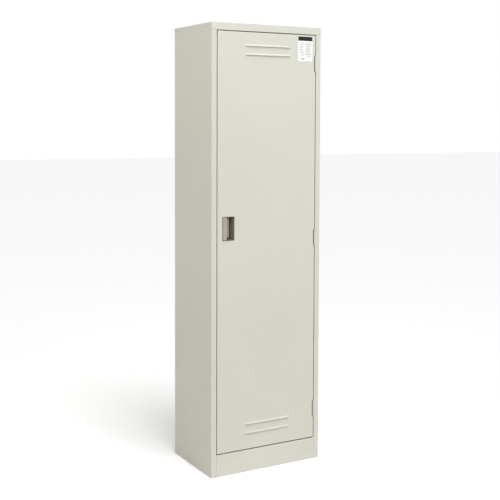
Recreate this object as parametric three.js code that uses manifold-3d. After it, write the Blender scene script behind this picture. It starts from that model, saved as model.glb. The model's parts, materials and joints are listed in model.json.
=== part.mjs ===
// Single-door steel locker. Units are millimetres, +Z up, the front faces -Y, +X is the viewer's right.
// The origin is on the floor, under the middle of the bounding box.
import * as THREE from 'three';
import { mergeVertices } from 'three/addons/utils/BufferGeometryUtils.js';
import Module from 'manifold-3d';

const wasm = await Module();
wasm.setup();

// ---------------------------------------------------------------- driving dimensions

const WIDTH = 505;
const HEIGHT = 1790;
const BODY_DEPTH = 338;
const HINGE_BARREL_R = 4;
const SHEET = 0.8;
const BEND = 1.2;
const GAP = 0.3;

// The hinge barrels stand ahead of the front by their radius.
const FRONT = HINGE_BARREL_R - (BODY_DEPTH + HINGE_BARREL_R) / 2;
const BACK = FRONT + BODY_DEPTH;

// The top cap laps outside the side panels and the back panel by one step.
const STEP = SHEET + GAP;
const CAP_X = WIDTH / 2;
const SIDE_X = CAP_X - STEP;
const SIDE_IN_X = SIDE_X - SHEET;
const BACK_Y = BACK - STEP;
const SIDE_BACK_Y = BACK_Y - STEP;
// Pans that sit between the walls clear the folds in the corners.
const PAN_CLEAR = 0.7;
const PAN_X = SIDE_IN_X - PAN_CLEAR;
const INNER_BACK_Y = SIDE_BACK_Y - 2 * SHEET - PAN_CLEAR;
const WALL_FACE_X = SIDE_IN_X - GAP;

// Front frame
const JAMB_X = 229.2;
const STOP_DEPTH = 24;
const STOP_LIP = 14;
const PLINTH_TOP = 88;
const HEADER_BOTTOM = 1761;
const SILL_LIP = 12;
const CAP_FLANGE = 10;
const REAR_FLANGE = 15;
const FOOT_FLANGE = 15;

// Door
const DOOR_X = 225.8;
const DOOR_BOTTOM = 92.5;
const DOOR_TOP = 1757.5;
const DOOR_DEPTH = 20;
const DOOR_LIP = 14;
const DOOR_EDGE_R = 1.6;

// Louvers: two rows near the top and two near the bottom
const LOUVER_LENGTH = 207;
const LOUVER_X = 1.5;
const LOUVER_Z = [156, 193, 1668, 1703];
const LOUVER_PROUD = 3.6;
const LOUVER_HEIGHT = 9;

// Hinges
const HINGE_X = 227.5;
const HINGE_Z = { lower: 213, middle: 930, upper: 1642 };
const KNUCKLE = 31;
const KNUCKLE_GAP = 0.25;
const PIN_R = 2.5;
const KNUCKLE_BORE_R = 2.6;
const LEAF = 1.2;
const LEAF_REACH = 17;
const NOTCH_MARGIN = 0.7;
const DOOR_NOTCH_X = 219.5;

// Recessed handle
const HANDLE_X0 = -204.5;
const HANDLE_X1 = -150.5;
const HANDLE_Z0 = 938;
const HANDLE_Z1 = 1033;
const BEZEL = 1;
const HOUSING_WALL = 1.2;
const HOUSING_DEPTH = 17;
const POCKET_DEPTH = 15;
const POCKET_TAPER = 9.2;
const POCKET_SLOT_X = -184;
const POCKET_SLOT_INSET = 4;
const LEVER_AXIS_X = -199.3;
const LEVER_AXIS_Y = FRONT + 2.3;
const LEVER_BOSS_R = 2.7;
const LEVER_PIN_R = 1;
const LEVER_BORE_R = 1.1;
const LEVER_FLAT_X = -186.1;
const LEVER_TIP_X = -170.4;
const LEVER_TIP_DROP = 8;
const LEVER_THICK = 2;
const GRIP_Z0 = 950;
const GRIP_Z1 = 1026;

// Latch
const LATCH_Z = 986;
const LATCH_Y = FRONT + 12;
const BOLT_HALF = 3;
const BOLT_TIP_X = -228.4;
const BOLT_END_X = -193.5;
const CAM_R = 2.1;
const CAM_SLOT = 2.5;
const COLLAR_X = -218;
const COLLAR_THICK = 2;
const COLLAR_HALF = 5.6;
const SPRING_R = 4.9;
const SPRING_WIRE_R = 0.45;
const SPRING_TURNS = 5;
const KEEPER_SHEET = 0.5;
const KEEPER_PEAK = 1.7;

// Inside
const FLOOR_Z = 90;
const SHELF_Z = 1500;
const SHELF_FRONT = FRONT + 31;
const UPSTAND = 12;
const ROD_R = 8;
const ROD_Z = 1440;
const ROD_Y0 = FRONT + 48;
const ROD_Y1 = 140;

// Label on the door
const LABEL_X0 = 142;
const LABEL_X1 = 210.5;
const LABEL_Z0 = 1652;
const LABEL_Z1 = 1752;

// The walls stop short of the cap's folded edge.
const WALL_TOP = HEIGHT - SHEET - BEND;

const MARGIN = 20;

// ---------------------------------------------------------------- materials

const material = (name, color, roughness, metalness) => {
  const m = new THREE.MeshStandardMaterial({ color, roughness, metalness });
  m.name = name;
  return m;
};
const PAINT = material('cabinet_paint', 0xdbdbd1, 0.45, 0);
const LEVER_PLASTIC = material('lever_plastic', 0xb0a89b, 0.45, 0);
const HOUSING_PLASTIC = material('housing_plastic', 0x92806a, 0.5, 0);
const ZINC = material('zinc_steel', 0xb9bbbd, 0.35, 1);
const SPRING_STEEL = material('spring_steel', 0x9a9ca0, 0.3, 1);
const RUBBER = material('bumper_rubber', 0x4a4a4a, 0.8, 0);
const PAPER = material('label_paper', 0xf2f2ee, 0.6, 0);

// ---------------------------------------------------------------- solids

function toSolid(geometry) {
  const bare = new THREE.BufferGeometry();
  bare.setAttribute('position', geometry.attributes.position.clone());
  if (geometry.index) {
    bare.setIndex(geometry.index.clone());
  }
  const merged = mergeVertices(bare, 1e-4);
  return new wasm.Manifold(new wasm.Mesh({
    numProp: 3,
    vertProperties: new Float32Array(merged.attributes.position.array),
    triVerts: new Uint32Array(merged.index.array),
  }));
}

function toGeometry(solid) {
  const mesh = solid.getMesh();
  const geometry = new THREE.BufferGeometry();
  geometry.setAttribute('position', new THREE.BufferAttribute(mesh.vertProperties, 3));
  geometry.setIndex(new THREE.BufferAttribute(mesh.triVerts, 1));
  const flat = geometry.toNonIndexed();
  flat.computeVertexNormals();
  return flat;
}

function box(x0, x1, y0, y1, z0, z1) {
  const g = new THREE.BoxGeometry(x1 - x0, y1 - y0, z1 - z0);
  g.translate((x0 + x1) / 2, (y0 + y1) / 2, (z0 + z1) / 2);
  return toSolid(g);
}

function extrude(points, length) {
  const shape = new THREE.Shape(points.map(([a, b]) => new THREE.Vector2(a, b)));
  return new THREE.ExtrudeGeometry(shape, { depth: length, bevelEnabled: false, steps: 1 });
}

// Outline in (X, Y), carried from z0 up to z1.
function alongZ(points, z0, z1) {
  const g = extrude(points, z1 - z0);
  g.translate(0, 0, z0);
  return toSolid(g);
}

// Outline in (Y, Z), carried from x0 to x1.
function alongX(points, x0, x1) {
  const g = extrude(points, x1 - x0);
  g.applyMatrix4(new THREE.Matrix4().makeBasis(
    new THREE.Vector3(0, 1, 0), new THREE.Vector3(0, 0, 1), new THREE.Vector3(1, 0, 0)));
  g.translate(x0, 0, 0);
  return toSolid(g);
}

// Outline in (X, Z), carried from y1 forward to y0.
function alongY(points, y0, y1) {
  const g = extrude(points, y1 - y0);
  g.applyMatrix4(new THREE.Matrix4().makeBasis(
    new THREE.Vector3(1, 0, 0), new THREE.Vector3(0, 0, 1), new THREE.Vector3(0, -1, 0)));
  g.translate(0, y1, 0);
  return toSolid(g);
}

function rodZ(x, y, z0, z1, radius, facets = 32) {
  const g = new THREE.CylinderGeometry(radius, radius, z1 - z0, facets);
  g.rotateX(Math.PI / 2);
  g.translate(x, y, (z0 + z1) / 2);
  return toSolid(g);
}

function rodY(x, z, y0, y1, radius, facets = 32) {
  const g = new THREE.CylinderGeometry(radius, radius, y1 - y0, facets);
  g.translate(x, (y0 + y1) / 2, z);
  return toSolid(g);
}

// Rounds every inner corner of an open polyline.
function filletPath(points, radius, steps = 4) {
  const out = [points[0]];
  for (let i = 1; i < points.length - 1; i += 1) {
    const p = new THREE.Vector2(...points[i]);
    const a = new THREE.Vector2(...points[i - 1]).sub(p).normalize();
    const b = new THREE.Vector2(...points[i + 1]).sub(p).normalize();
    const half = Math.acos(THREE.MathUtils.clamp(a.dot(b), -1, 1)) / 2;
    const reach = radius / Math.tan(half);
    const centre = a.clone().add(b).normalize().multiplyScalar(radius / Math.sin(half)).add(p);
    const start = a.clone().multiplyScalar(reach).add(p).sub(centre);
    const end = b.clone().multiplyScalar(reach).add(p).sub(centre);
    const turn = Math.atan2(start.cross(end), start.dot(end));
    for (let k = 0; k <= steps; k += 1) {
      const v = start.clone().rotateAround(new THREE.Vector2(), (turn * k) / steps);
      out.push([centre.x + v.x, centre.y + v.y]);
    }
  }
  out.push(points[points.length - 1]);
  return out;
}

// Moves an open polyline sideways; a positive distance is to the left of its heading.
function offsetPath(points, distance) {
  return points.map((point, i) => {
    const p = new THREE.Vector2(...point);
    const normals = [];
    for (const [from, to] of [[i - 1, i], [i, i + 1]]) {
      if (from >= 0 && to < points.length) {
        const d = new THREE.Vector2(...points[to]).sub(new THREE.Vector2(...points[from])).normalize();
        normals.push(new THREE.Vector2(-d.y, d.x));
      }
    }
    const mean = normals.reduce((sum, n) => sum.add(n), new THREE.Vector2()).normalize();
    const v = mean.clone().multiplyScalar(distance / mean.dot(normals[0]));
    return [p.x + v.x, p.y + v.y];
  });
}

// Outline of a bent sheet whose outer face follows the points. side is +1 when the metal
// lies to the left of the heading and -1 when it lies to the right.
function sheet(points, side, thickness = SHEET, bend = BEND) {
  const middle = filletPath(offsetPath(points, (side * thickness) / 2), bend);
  const face = offsetPath(middle, (-side * thickness) / 2);
  const inner = offsetPath(middle, (side * thickness) / 2);
  const outline = [...face, ...inner.reverse()];
  return side > 0 ? outline : outline.reverse();
}

// Rectangle with its two corners on the low-Y side rounded, as an outline in (Y, other).
function frontRounded(y0, y1, low, high, radius) {
  const open = filletPath([[y1, low], [y0, low], [y0, high], [y1, high]], radius);
  return open.reverse();
}

// Block whose four front edges are rounded.
function frontRoundedBlock(x0, x1, y0, y1, z0, z1, radius) {
  const across = frontRounded(y0, y1, x0, x1, radius).map(([y, x]) => [x, y]).reverse();
  const upright = alongX(frontRounded(y0, y1, z0, z1, radius), x0, x1);
  return alongZ(across, z0, z1).intersect(upright);
}

const group = new THREE.Group();

function add(name, solid, mat) {
  const mesh = new THREE.Mesh(toGeometry(solid), mat);
  mesh.name = name;
  group.add(mesh);
}

// ---------------------------------------------------------------- side panels with the front stiles

function sidePanel() {
  const wall = alongZ(sheet([
    [-SIDE_X + REAR_FLANGE, SIDE_BACK_Y],
    [-SIDE_X, SIDE_BACK_Y],
    [-SIDE_X, FRONT],
    [-JAMB_X, FRONT],
    [-JAMB_X, FRONT + STOP_DEPTH],
    [-JAMB_X + STOP_LIP, FRONT + STOP_DEPTH],
  ], 1), 0, WALL_TOP);
  const foot = box(-SIDE_X, -SIDE_X + FOOT_FLANGE, FRONT + 4, SIDE_BACK_Y - 4, 0, SHEET);
  const underHeader = HEADER_BOTTOM - GAP;
  const headerFace = box(-SIDE_X - MARGIN, 0, FRONT - MARGIN, FRONT + STEP, underHeader, HEIGHT);
  const headerRoom = box(-SIDE_IN_X + GAP, 0, FRONT - MARGIN, FRONT + STOP_DEPTH + MARGIN,
    underHeader, HEIGHT);
  const sillNotch = box(-JAMB_X - SHEET - GAP, 0, FRONT + STOP_DEPTH - BEND - SHEET, FRONT + STOP_DEPTH + MARGIN,
    -MARGIN, PLINTH_TOP + SILL_LIP + GAP);
  return wall.add(foot).subtract(headerFace).subtract(headerRoom).subtract(sillNotch);
}

const keeperWindow = box(-JAMB_X - 2 * SHEET, -JAMB_X + SHEET, FRONT + 3.6, FRONT + 8.6,
  LATCH_Z - 7, LATCH_Z + 7);
add('left_side_panel', sidePanel().subtract(keeperWindow), PAINT);

let rightSide = sidePanel().mirror([1, 0, 0]);
for (const z of Object.values(HINGE_Z)) {
  rightSide = rightSide.subtract(box(JAMB_X - SHEET, HINGE_X + HINGE_BARREL_R + NOTCH_MARGIN,
    FRONT - MARGIN, FRONT + HINGE_BARREL_R + NOTCH_MARGIN,
    z - KNUCKLE - NOTCH_MARGIN, z + KNUCKLE + NOTCH_MARGIN));
}
add('right_side_panel', rightSide, PAINT);

// ---------------------------------------------------------------- back panel

const backFlangeX = SIDE_X - REAR_FLANGE - GAP;
const backPanel = box(-SIDE_IN_X, SIDE_IN_X, BACK_Y - SHEET, BACK_Y, 1, WALL_TOP)
  .add(box(-backFlangeX, backFlangeX, BACK_Y - 16, BACK_Y, WALL_TOP - SHEET, WALL_TOP));
add('back_panel', backPanel, PAINT);

// ---------------------------------------------------------------- top cap with the header

const headerAndTop = alongX(sheet([
  [FRONT + STOP_DEPTH, HEADER_BOTTOM - SILL_LIP],
  [FRONT + STOP_DEPTH, HEADER_BOTTOM],
  [FRONT, HEADER_BOTTOM],
  [FRONT, HEIGHT],
  [BACK, HEIGHT],
  [BACK, HEIGHT - CAP_FLANGE],
], -1), -CAP_X, CAP_X);
const sideFlanges = alongY(sheet([
  [-CAP_X, HEIGHT - CAP_FLANGE],
  [-CAP_X, HEIGHT],
  [CAP_X, HEIGHT],
  [CAP_X, HEIGHT - CAP_FLANGE],
], -1), FRONT, BACK);
const capEnvelope = alongZ(
  filletPath([[CAP_X, 0], [CAP_X, BACK], [-CAP_X, BACK], [-CAP_X, FRONT], [CAP_X, FRONT], [CAP_X, -1]],
    DOOR_EDGE_R + SHEET), 0, HEIGHT + MARGIN);
const capShoulders = alongY(
  filletPath([[CAP_X, 0], [CAP_X, HEIGHT], [-CAP_X, HEIGHT], [-CAP_X, 0]], DOOR_EDGE_R), FRONT, BACK);
let cap = headerAndTop.add(sideFlanges).intersect(capEnvelope).intersect(capShoulders);
for (const side of [-1, 1]) {
  const reach = side * (CAP_X + MARGIN);
  const returnEnd = side * (SIDE_IN_X - GAP);
  const lipEnd = side * (JAMB_X - STOP_LIP - GAP);
  const insideX = [Math.min(reach, returnEnd), Math.max(reach, returnEnd)];
  const lipX = [Math.min(reach, lipEnd), Math.max(reach, lipEnd)];
  cap = cap
    .subtract(box(...insideX, FRONT + STEP, FRONT + STOP_DEPTH + 2, HEADER_BOTTOM - MARGIN,
      HEIGHT - CAP_FLANGE - GAP))
    .subtract(box(...lipX, FRONT + STOP_DEPTH - BEND - SHEET, FRONT + STOP_DEPTH + 2,
      HEADER_BOTTOM - MARGIN, HEADER_BOTTOM + 6));
}
add('top_cap', cap, PAINT);

// ---------------------------------------------------------------- base

const plinthX = JAMB_X - GAP;
const plinth = alongX(sheet([
  [FRONT + STOP_DEPTH - 1, 0],
  [FRONT, 0],
  [FRONT, PLINTH_TOP],
  [FRONT + STOP_DEPTH, PLINTH_TOP],
  [FRONT + STOP_DEPTH, PLINTH_TOP + SILL_LIP],
], -1), -plinthX, plinthX);
add('plinth', plinth, PAINT);

const floorFront = FRONT + STOP_DEPTH + SHEET + GAP;
const floorPan = alongX(sheet([
  [floorFront, FLOOR_Z - 20],
  [floorFront, FLOOR_Z],
  [INNER_BACK_Y, FLOOR_Z],
  [INNER_BACK_Y, FLOOR_Z + UPSTAND],
], -1), -PAN_X, PAN_X);
const upstandLeft = box(-PAN_X, -PAN_X + SHEET, floorFront + 6, INNER_BACK_Y + SHEET,
  FLOOR_Z - SHEET, FLOOR_Z + UPSTAND);
add('floor_panel', floorPan.add(upstandLeft).add(upstandLeft.mirror([1, 0, 0])), PAINT);

const railY = SIDE_BACK_Y - SHEET - GAP;
const rearRail = alongX(sheet([
  [railY - 20, 0],
  [railY, 0],
  [railY, FLOOR_Z - SHEET - 6],
], 1), -backFlangeX, backFlangeX);
add('rear_base_rail', rearRail, PAINT);

// ---------------------------------------------------------------- door

function louver(z) {
  const x0 = LOUVER_X - LOUVER_LENGTH / 2;
  const x1 = LOUVER_X + LOUVER_LENGTH / 2;
  const lip = alongX([
    [FRONT - LOUVER_PROUD, z],
    [FRONT + SHEET / 2, z],
    [FRONT + SHEET / 2, z + LOUVER_HEIGHT],
    [FRONT - LOUVER_PROUD, z + 1.6],
  ], x0, x1);
  const throat = alongX([
    [FRONT - LOUVER_PROUD + SHEET, z - 0.5],
    [FRONT + 2 * SHEET, z - 0.5],
    [FRONT + 2 * SHEET, z + LOUVER_HEIGHT - 1],
    [FRONT + SHEET / 2, z + LOUVER_HEIGHT - 1.6],
    [FRONT - LOUVER_PROUD + SHEET, z + 1.4],
  ], x0 + SHEET, x1 - SHEET);
  return { lip, throat };
}

const doorOuter = frontRoundedBlock(-DOOR_X, DOOR_X, FRONT, FRONT + DOOR_DEPTH,
  DOOR_BOTTOM, DOOR_TOP, DOOR_EDGE_R);
const doorHollow = frontRoundedBlock(-DOOR_X + SHEET, DOOR_X - SHEET, FRONT + SHEET,
  FRONT + DOOR_DEPTH - SHEET, DOOR_BOTTOM + SHEET, DOOR_TOP - SHEET, DOOR_EDGE_R - SHEET);
const doorMouth = box(-DOOR_X + DOOR_LIP, DOOR_X - DOOR_LIP, FRONT + DOOR_DEPTH / 2,
  FRONT + DOOR_DEPTH + MARGIN, DOOR_BOTTOM + DOOR_LIP, DOOR_TOP - DOOR_LIP);
const housingX0 = HANDLE_X0 + BEZEL;
const housingX1 = HANDLE_X1 - BEZEL;
const housingZ0 = HANDLE_Z0 + BEZEL;
const housingZ1 = HANDLE_Z1 - BEZEL;
const handleCutout = box(housingX0 - GAP, housingX1 + GAP, FRONT - MARGIN, FRONT + DOOR_DEPTH / 2,
  housingZ0 - GAP, housingZ1 + GAP);
const boltSlotHalf = BOLT_HALF + GAP;
const doorBoltSlot = box(-DOOR_X - MARGIN, -DOOR_X + 5, LATCH_Y - boltSlotHalf,
  LATCH_Y + boltSlotHalf, LATCH_Z - boltSlotHalf, LATCH_Z + boltSlotHalf);

let door = doorOuter.subtract(doorHollow).subtract(doorMouth).subtract(handleCutout)
  .subtract(doorBoltSlot);
for (const z of Object.values(HINGE_Z)) {
  door = door.subtract(box(DOOR_NOTCH_X, DOOR_X + SHEET, FRONT - MARGIN,
    FRONT + HINGE_BARREL_R + NOTCH_MARGIN, z - KNUCKLE - NOTCH_MARGIN, z + KNUCKLE + NOTCH_MARGIN));
}
for (const z of LOUVER_Z) {
  const { lip, throat } = louver(z);
  door = door.add(lip).subtract(throat);
}
add('door_panel', door, PAINT);

const hatBack = FRONT + DOOR_DEPTH - 3;
const hatFoot = FRONT + SHEET + GAP + SHEET;
const stiffener = alongZ(sheet([
  [-44, hatFoot],
  [-28, hatFoot],
  [-28, hatBack],
  [28, hatBack],
  [28, hatFoot],
  [44, hatFoot],
], -1), 240, 1610);
add('door_stiffener', stiffener, PAINT);

// ---------------------------------------------------------------- hinges

function knuckle(z0, z1) {
  return rodZ(HINGE_X, FRONT, z0, z1, HINGE_BARREL_R)
    .subtract(rodZ(HINGE_X, FRONT, z0 - 1, z1 + 1, KNUCKLE_BORE_R));
}

for (const [place, z] of Object.entries(HINGE_Z)) {
  const frameZ = [z - KNUCKLE, z - KNUCKLE_GAP];
  const doorZ = [z + KNUCKLE_GAP, z + KNUCKLE];
  const frameX = HINGE_X + HINGE_BARREL_R - LEAF;
  const doorX = HINGE_X - HINGE_BARREL_R;
  const frameLeaf = box(frameX, frameX + LEAF, FRONT, FRONT + LEAF_REACH, ...frameZ);
  const doorLeaf = box(doorX, doorX + LEAF, FRONT, FRONT + LEAF_REACH, ...doorZ);
  add(`hinge_${place}_frame_leaf`, knuckle(...frameZ).add(frameLeaf), PAINT);
  add(`hinge_${place}_door_leaf`, knuckle(...doorZ).add(doorLeaf), PAINT);
  add(`hinge_${place}_pin`, rodZ(HINGE_X, FRONT, z - KNUCKLE + 1, z + KNUCKLE - 2, PIN_R), ZINC);
}

// ---------------------------------------------------------------- recessed handle

const cavityX0 = housingX0 + HOUSING_WALL;
const cavityX1 = housingX1 - HOUSING_WALL;
const cavityZ0 = housingZ0 + HOUSING_WALL;
const cavityZ1 = housingZ1 - HOUSING_WALL;
const bezel = box(HANDLE_X0, HANDLE_X1, FRONT - 1.1, FRONT - 0.1, HANDLE_Z0, HANDLE_Z1);
const tub = box(housingX0, housingX1, FRONT - 1, FRONT + HOUSING_DEPTH, housingZ0, housingZ1);
const pocket = alongZ([
  [cavityX0, FRONT - MARGIN],
  [cavityX1, FRONT - MARGIN],
  [cavityX1, FRONT],
  [cavityX1 - POCKET_TAPER, FRONT + POCKET_DEPTH],
  [cavityX0, FRONT + POCKET_DEPTH],
], cavityZ0, cavityZ1);
// The pocket's floor is open behind the grip, so that fingers can reach round its tip.
const pocketSlot = box(POCKET_SLOT_X, cavityX1 - POCKET_TAPER - 1, FRONT, FRONT + HOUSING_DEPTH + MARGIN,
  cavityZ0 + POCKET_SLOT_INSET, cavityZ1 - POCKET_SLOT_INSET);
const housingBoltSlot = box(housingX0 - MARGIN, cavityX0 + 2, LATCH_Y - boltSlotHalf,
  LATCH_Y + boltSlotHalf, LATCH_Z - boltSlotHalf, LATCH_Z + boltSlotHalf);
const pinTop = housingZ1 - 0.4;
const pinBottom = housingZ0 + 0.4;
const housingPinHole = rodZ(LEVER_AXIS_X, LEVER_AXIS_Y, pinBottom, pinTop, LEVER_BORE_R, 24);
add('handle_housing', bezel.add(tub).subtract(pocket).subtract(pocketSlot)
  .subtract(housingBoltSlot).subtract(housingPinHole), HOUSING_PLASTIC);

const leverFront = LEVER_AXIS_Y - LEVER_BOSS_R;
const leverZ0 = cavityZ0 + GAP;
const leverZ1 = cavityZ1 - GAP;
const plate = alongZ([
  [LEVER_AXIS_X, leverFront],
  [LEVER_FLAT_X, leverFront],
  [LEVER_FLAT_X + 1.5, leverFront + 0.7],
  [LEVER_FLAT_X + 1.5, leverFront + LEVER_THICK + 0.7],
  [LEVER_AXIS_X, leverFront + LEVER_THICK],
], leverZ0, leverZ1);
const grip = alongZ([
  [LEVER_FLAT_X, leverFront],
  [LEVER_TIP_X - 0.8, leverFront + LEVER_TIP_DROP - 0.6],
  [LEVER_TIP_X, leverFront + LEVER_TIP_DROP],
  [LEVER_TIP_X, leverFront + LEVER_TIP_DROP + 2.4],
  [LEVER_TIP_X - 1.6, leverFront + LEVER_TIP_DROP + 2.4],
  [LEVER_FLAT_X, leverFront + LEVER_THICK],
], GRIP_Z0, GRIP_Z1);
const boss = rodZ(LEVER_AXIS_X, LEVER_AXIS_Y, leverZ0, leverZ1, LEVER_BOSS_R);
const tail = box(LEVER_AXIS_X - 0.9, LEVER_AXIS_X + 0.9, LEVER_AXIS_Y, LATCH_Y,
  LATCH_Z - 1.8, LATCH_Z + 1.8);
const cam = rodZ(LEVER_AXIS_X, LATCH_Y, LATCH_Z - 1.8, LATCH_Z + 1.8, CAM_R, 24);
const leverBore = rodZ(LEVER_AXIS_X, LEVER_AXIS_Y, leverZ0 - 1, leverZ1 + 1, LEVER_BORE_R, 24);
add('handle_lever', plate.add(grip).add(boss).subtract(leverBore)
  .add(tail.subtract(rodZ(LEVER_AXIS_X, LEVER_AXIS_Y, LATCH_Z - 4, LATCH_Z + 4, LEVER_BORE_R + 0.5)))
  .add(cam), LEVER_PLASTIC);
add('lever_pin', rodZ(LEVER_AXIS_X, LEVER_AXIS_Y, pinBottom + 0.1, pinTop - 0.1, LEVER_PIN_R, 24), ZINC);

// ---------------------------------------------------------------- latch

const boltBar = box(BOLT_TIP_X + 2, BOLT_END_X, LATCH_Y - BOLT_HALF, LATCH_Y + BOLT_HALF,
  LATCH_Z - BOLT_HALF, LATCH_Z + BOLT_HALF);
const boltNose = alongZ([
  [BOLT_TIP_X + 2, LATCH_Y - BOLT_HALF],
  [BOLT_TIP_X + 2, LATCH_Y + BOLT_HALF],
  [BOLT_TIP_X + 1.2, LATCH_Y + BOLT_HALF],
  [BOLT_TIP_X, LATCH_Y + 1.2],
  [BOLT_TIP_X, LATCH_Y - 1.6],
  [BOLT_TIP_X + 0.6, LATCH_Y - BOLT_HALF],
], LATCH_Z - BOLT_HALF, LATCH_Z + BOLT_HALF);
const collar = box(COLLAR_X - COLLAR_THICK, COLLAR_X, LATCH_Y - COLLAR_HALF, LATCH_Y + COLLAR_HALF,
  LATCH_Z - COLLAR_HALF, LATCH_Z + COLLAR_HALF);
const camWindow = box(LEVER_AXIS_X - CAM_SLOT, LEVER_AXIS_X + CAM_SLOT, LATCH_Y - MARGIN,
  LATCH_Y + MARGIN, LATCH_Z - 2.1, LATCH_Z + 2.1);
add('latch_bolt', boltBar.add(boltNose).add(collar).subtract(camWindow), ZINC);

class Coil extends THREE.Curve {
  constructor(x0, x1, radius, turns) {
    super();
    Object.assign(this, { x0, x1, radius, turns });
  }

  getPoint(t) {
    const angle = 2 * Math.PI * this.turns * t;
    return new THREE.Vector3(
      this.x0 + (this.x1 - this.x0) * t,
      LATCH_Y + this.radius * Math.cos(angle),
      LATCH_Z + this.radius * Math.sin(angle));
  }
}

const wire = new THREE.Shape();
wire.absarc(0, 0, SPRING_WIRE_R, 0, 2 * Math.PI);
const coil = new THREE.ExtrudeGeometry(wire, {
  steps: SPRING_TURNS * 18,
  bevelEnabled: false,
  curveSegments: 8,
  extrudePath: new Coil(COLLAR_X + SPRING_WIRE_R + GAP, housingX0 - SPRING_WIRE_R - GAP,
    SPRING_R, SPRING_TURNS),
});
add('latch_spring', toSolid(coil), SPRING_STEEL);

// Sprung clip behind the left jamb; its crest comes through the window, ahead of the bolt.
const clipX = -JAMB_X - SHEET - GAP;
const clipBack = clipX - KEEPER_SHEET;
const crestX = -JAMB_X + KEEPER_PEAK;
const clip = alongZ([
  [clipBack, FRONT + 1.8],
  [clipX, FRONT + 1.8],
  [clipX, FRONT + 4.4],
  [crestX, FRONT + 5.7],
  [crestX, FRONT + 6.7],
  [clipX, FRONT + 8],
  [clipX, FRONT + STOP_DEPTH - 3],
  [clipBack, FRONT + STOP_DEPTH - 3],
  [clipBack, FRONT + 7.6],
  [crestX - KEEPER_SHEET, FRONT + 6.4],
  [crestX - KEEPER_SHEET, FRONT + 6],
  [clipBack, FRONT + 4.8],
], LATCH_Z - 6, LATCH_Z + 6);
add('latch_keeper', clip, SPRING_STEEL);

// Rubber stops on the left lip
const bumperX = -JAMB_X + STOP_LIP / 2 + 1;
for (const [place, z] of [['lower', 300], ['upper', 1560]]) {
  add(`door_bumper_${place}`, rodY(bumperX, z, FRONT + DOOR_DEPTH + GAP, FRONT + STOP_DEPTH - GAP, 4.5),
    RUBBER);
}

add('door_label', box(LABEL_X0, LABEL_X1, FRONT - 0.35, FRONT - 0.1, LABEL_Z0, LABEL_Z1), PAPER);

// ---------------------------------------------------------------- shelf

const shelf = alongX(sheet([
  [SHELF_FRONT, SHELF_Z - 20],
  [SHELF_FRONT, SHELF_Z],
  [INNER_BACK_Y, SHELF_Z],
  [INNER_BACK_Y, SHELF_Z + UPSTAND],
], -1), -PAN_X, PAN_X);
const shelfUpstand = box(-PAN_X, -PAN_X + SHEET, SHELF_FRONT + 6, INNER_BACK_Y + SHEET,
  SHELF_Z - SHEET, SHELF_Z + UPSTAND);
add('shelf', shelf.add(shelfUpstand).add(shelfUpstand.mirror([1, 0, 0])), PAINT);

function shelfClip(side, y) {
  const top = SHELF_Z - SHEET - GAP;
  const points = [[-WALL_FACE_X, top - 22], [-WALL_FACE_X, top], [-WALL_FACE_X + 16, top]];
  const bracket = alongY(sheet(points, -1, 1.2, 1.4), y - 10, y + 10);
  return side < 0 ? bracket : bracket.mirror([1, 0, 0]);
}
for (const [side, sideName] of [[-1, 'left'], [1, 'right']]) {
  for (const [y, yName] of [[FRONT + 70, 'front'], [BACK - 60, 'rear']]) {
    add(`shelf_clip_${sideName}_${yName}`, shelfClip(side, y), ZINC);
  }
}

// ---------------------------------------------------------------- hanger rod and coat hooks

add('hanger_rod', rodY(0, ROD_Z, ROD_Y0, ROD_Y1, ROD_R), ZINC);
for (const [y, name] of [[ROD_Y0 + 8, 'front'], [ROD_Y1 - 8, 'rear']]) {
  const top = SHELF_Z - SHEET - GAP;
  const ear = alongY([[-15, top], [-15, top - 12], [-13, ROD_Z], [-9, ROD_Z - 11], [0, ROD_Z - 14],
    [9, ROD_Z - 11], [13, ROD_Z], [15, top - 12], [15, top]], y - 1, y + 1)
    .subtract(rodY(0, ROD_Z, y - 3, y + 3, ROD_R + 0.3));
  const flange = box(-15, 15, y - 1, y + 14, top - 2, top);
  add(`rod_bracket_${name}`, ear.add(flange), ZINC);
}

function coatHook(side) {
  const wall = -WALL_FACE_X;
  const plateBox = box(wall, wall + 1.6, -12, 12, 1380, 1424);
  const prong = alongY(sheet([[wall + 0.8, 1400], [wall + 26, 1388], [wall + 34, 1410]], 1, 3, 4), -5, 5);
  const hook = plateBox.add(prong);
  return side < 0 ? hook : hook.mirror([1, 0, 0]);
}
add('coat_hook_left', coatHook(-1), ZINC);
add('coat_hook_right', coatHook(1), ZINC);

export default group;
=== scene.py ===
import json
import math

import bmesh
import bpy
from mathutils import Matrix, Vector


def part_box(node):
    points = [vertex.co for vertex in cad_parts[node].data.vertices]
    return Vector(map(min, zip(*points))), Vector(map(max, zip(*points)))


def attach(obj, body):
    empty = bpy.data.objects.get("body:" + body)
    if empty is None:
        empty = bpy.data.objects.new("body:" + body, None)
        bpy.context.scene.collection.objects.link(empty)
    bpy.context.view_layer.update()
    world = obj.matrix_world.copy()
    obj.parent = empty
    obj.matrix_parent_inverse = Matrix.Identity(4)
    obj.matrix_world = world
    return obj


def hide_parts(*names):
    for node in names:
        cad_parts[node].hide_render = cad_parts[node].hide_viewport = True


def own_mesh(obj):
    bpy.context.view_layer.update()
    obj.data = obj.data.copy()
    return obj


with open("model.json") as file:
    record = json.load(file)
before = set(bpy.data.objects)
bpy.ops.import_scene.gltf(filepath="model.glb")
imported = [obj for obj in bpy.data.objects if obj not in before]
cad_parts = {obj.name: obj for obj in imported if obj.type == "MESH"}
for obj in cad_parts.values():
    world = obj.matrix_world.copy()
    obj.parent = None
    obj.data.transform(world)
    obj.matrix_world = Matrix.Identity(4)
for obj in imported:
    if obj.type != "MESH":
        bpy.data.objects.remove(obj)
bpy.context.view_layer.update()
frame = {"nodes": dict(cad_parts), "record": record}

# ---------------------------------------------------------------- dimensions

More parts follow.
